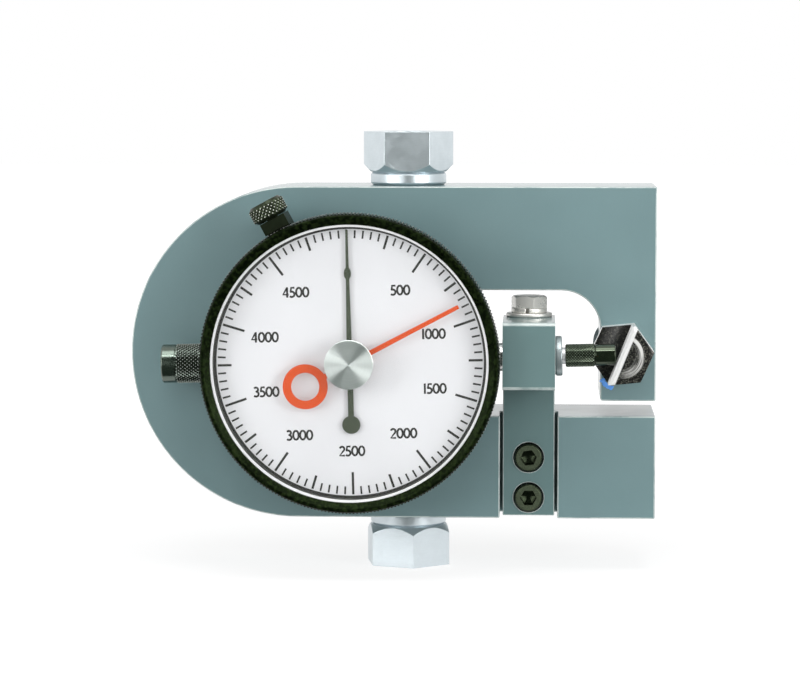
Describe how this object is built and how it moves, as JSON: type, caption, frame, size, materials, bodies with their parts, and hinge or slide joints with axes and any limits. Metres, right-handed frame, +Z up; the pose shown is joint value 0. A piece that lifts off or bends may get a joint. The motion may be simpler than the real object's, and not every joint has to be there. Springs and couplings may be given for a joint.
{
  "type": "analog dynamometer",
  "caption": "C-frame force gauge with a dial indicator that reads the frame's deflection, and threaded load adapters above and below.",
  "frame": {"origin": "centre of the mouth of the lower adapter's tapped load bore", "axes": "+Z up along the load axis to the upper adapter, -Y towards the dial's viewer, +X towards the frame's open end"},
  "size_m": [0.1806, 0.0785, 0.1513],
  "materials": {
    "frame_paint": "smooth grey-green enamel",
    "zinc_plate": "turned and zinc plated",
    "black_oxide": "black oxide steel",
    "bright_steel": "polished and plated",
    "case_enamel": "satin black enamel",
    "movement_brass": "machined",
    "movement_steel": "ground",
    "knob_aluminium": "turned in circles",
    "dial_white": "matt white with black marks",
    "hand_black": "matt black",
    "hand_orange": "matt orange-red",
    "crystal_glass": "clear and polished"
  },
  "bodies": {
    "gauge": {"deflection_frame": "frame_paint", "upper_load_adapter": "zinc_plate", "lower_load_adapter": "zinc_plate", "bracket_post": "frame_paint", "bracket_screws": "black_oxide", "stem_clamp_block": "frame_paint", "clamp_bolt": "zinc_plate", "clamp_lock_washer": "zinc_plate", "clamp_flat_washer": "zinc_plate", "stem_bushing": "bright_steel", "calibration_cam": "bright_steel", "cam_lock_washer": "zinc_plate", "cam_lock_nut": "zinc_plate", "indicator_case": "case_enamel", "case_back_cover": "case_enamel", "back_cover_screws": "movement_steel", "indicator_stem": "movement_steel", "spindle_rear_bushing": "movement_brass", "movement_plate": "movement_brass", "movement_pillars": "movement_brass", "movement_screws": "movement_steel", "pinion_cock": "movement_brass", "return_spring": "movement_steel", "hairspring": "movement_steel", "hairspring_stud": "movement_steel", "bezel_clamp_lug": "zinc_plate"},
    "spindle": {"spindle": "movement_steel", "contact_point": "black_oxide", "spindle_collar": "movement_steel", "spindle_guide_pin": "movement_steel"},
    "rack_gear": {"rack_pinion": "movement_steel", "rack_gear": "movement_brass"},
    "pointer_arbor": {"centre_arbor": "movement_steel", "pointer": "hand_black"},
    "takeup_gear": {"takeup_arbor": "movement_steel", "takeup_gear": "movement_brass"},
    "bezel": {"bezel_ring": "case_enamel", "crystal": "crystal_glass", "crystal_spacer": "knob_aluminium", "dial_plate": "dial_white", "bezel_retaining_ring": "movement_steel"},
    "max_hand": {"max_hand": "hand_orange", "reset_knob": "knob_aluminium", "friction_washer": "movement_brass"},
    "bezel_lock": {"bezel_lock_screw": "black_oxide"},
    "dust_cap": {"dust_cap": "black_oxide"}
  },
  "joints": [
    {"name": "pointer_spin", "type": "hinge", "parent": "gauge", "child": "pointer_arbor", "pos_m": [-0.01808, -0.04, 0.07418], "axis": [0, 1, 0], "range_deg": [-0.5, 360.5]},
    {"name": "spindle_slide", "type": "slide", "parent": "gauge", "child": "spindle", "axis": [-0.9997, 0, -0.0244], "range_m": [0, 0.001], "stiffness_N_per_m": 100, "springref_m": -0.015, "deforming": ["return_spring"]},
    {"name": "rack_gear_spin", "type": "hinge", "parent": "gauge", "child": "rack_gear", "pos_m": [-0.00757, -0.034, 0.07094], "axis": [0, 1, 0], "range_deg": [-36.5, 0.5]},
    {"name": "takeup_gear_spin", "type": "hinge", "parent": "gauge", "child": "takeup_gear", "pos_m": [-0.02859, -0.034, 0.07741], "axis": [0, 1, 0], "range_deg": [-36.5, 0.5], "deforming": ["hairspring"]},
    {"name": "bezel_spin", "type": "hinge", "parent": "gauge", "child": "bezel", "pos_m": [-0.01808, -0.04, 0.07418], "axis": [0, 1, 0], "continuous": true},
    {"name": "max_hand_spin", "type": "hinge", "parent": "bezel", "child": "max_hand", "pos_m": [-0.01808, -0.045, 0.07418], "axis": [0, 1, 0], "continuous": true},
    {"name": "bezel_lock_turn", "type": "hinge", "parent": "gauge", "child": "bezel_lock", "pos_m": [-0.04416, -0.03826, 0.1226], "axis": [-0.4741, 0, 0.8805], "range_deg": [0, 360]},
    {"name": "dust_cap_turn", "type": "hinge", "parent": "gauge", "child": "dust_cap", "pos_m": [-0.07546, -0.03005, 0.07277], "axis": [-0.9997, 0, -0.0244], "range_deg": [0, 720]}
  ],
  "couplings": [
    {"joint": "pointer_spin", "follows": "spindle_slide", "rad_per_m": 6283.2},
    {"joint": "rack_gear_spin", "follows": "spindle_slide", "rad_per_m": -628.32},
    {"joint": "takeup_gear_spin", "follows": "spindle_slide", "rad_per_m": -628.32}
  ]
}
